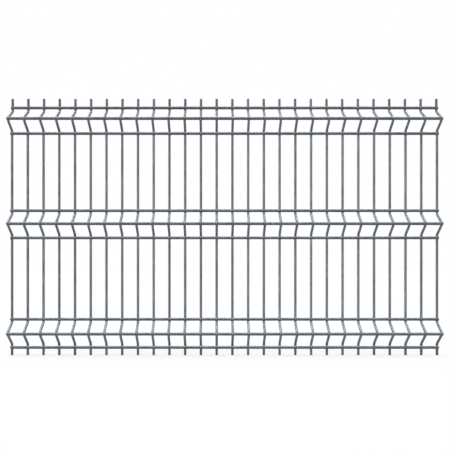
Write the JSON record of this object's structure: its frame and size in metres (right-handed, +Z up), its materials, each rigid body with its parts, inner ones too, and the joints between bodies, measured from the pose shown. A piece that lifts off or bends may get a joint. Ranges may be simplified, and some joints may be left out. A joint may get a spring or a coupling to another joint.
{
  "type": "welded mesh fence panel",
  "caption": "Flat-standing welded wire fence panel with V-shaped folds: bent upright wires crossed by straight wires, for closing the bay between two fence posts.",
  "frame": {"origin": "middle of the panel's length and of its whole depth, at the level of the lower wire ends", "axes": "+X along the fence, +Y to the back, away from the folds, +Z up"},
  "size_m": [1.358, 0.0564, 0.815],
  "materials": {
    "galvanised_wire": "dull hot-dip zinc on drawn steel wire"
  },
  "bodies": {
    "root": {"upright_01": "galvanised_wire", "upright_02": "galvanised_wire", "upright_03": "galvanised_wire", "upright_04": "galvanised_wire", "upright_05": "galvanised_wire", "upright_06": "galvanised_wire", "upright_07": "galvanised_wire", "upright_08": "galvanised_wire", "upright_09": "galvanised_wire", "upright_10": "galvanised_wire", "upright_11": "galvanised_wire", "upright_12": "galvanised_wire", "upright_13": "galvanised_wire", "upright_14": "galvanised_wire", "upright_15": "galvanised_wire", "upright_16": "galvanised_wire", "upright_17": "galvanised_wire", "upright_18": "galvanised_wire", "upright_19": "galvanised_wire", "upright_20": "galvanised_wire", "upright_21": "galvanised_wire", "upright_22": "galvanised_wire", "upright_23": "galvanised_wire", "upright_24": "galvanised_wire", "upright_25": "galvanised_wire", "upright_26": "galvanised_wire", "upright_27": "galvanised_wire", "upright_28": "galvanised_wire", "bottom_fold_lower_wire": "galvanised_wire", "bottom_fold_crest_wire": "galvanised_wire", "bottom_fold_upper_wire": "galvanised_wire", "middle_fold_lower_wire": "galvanised_wire", "middle_fold_crest_wire": "galvanised_wire", "middle_fold_upper_wire": "galvanised_wire", "top_fold_lower_wire": "galvanised_wire", "top_fold_crest_wire": "galvanised_wire", "top_fold_upper_wire": "galvanised_wire"}
  },
  "joints": []
}
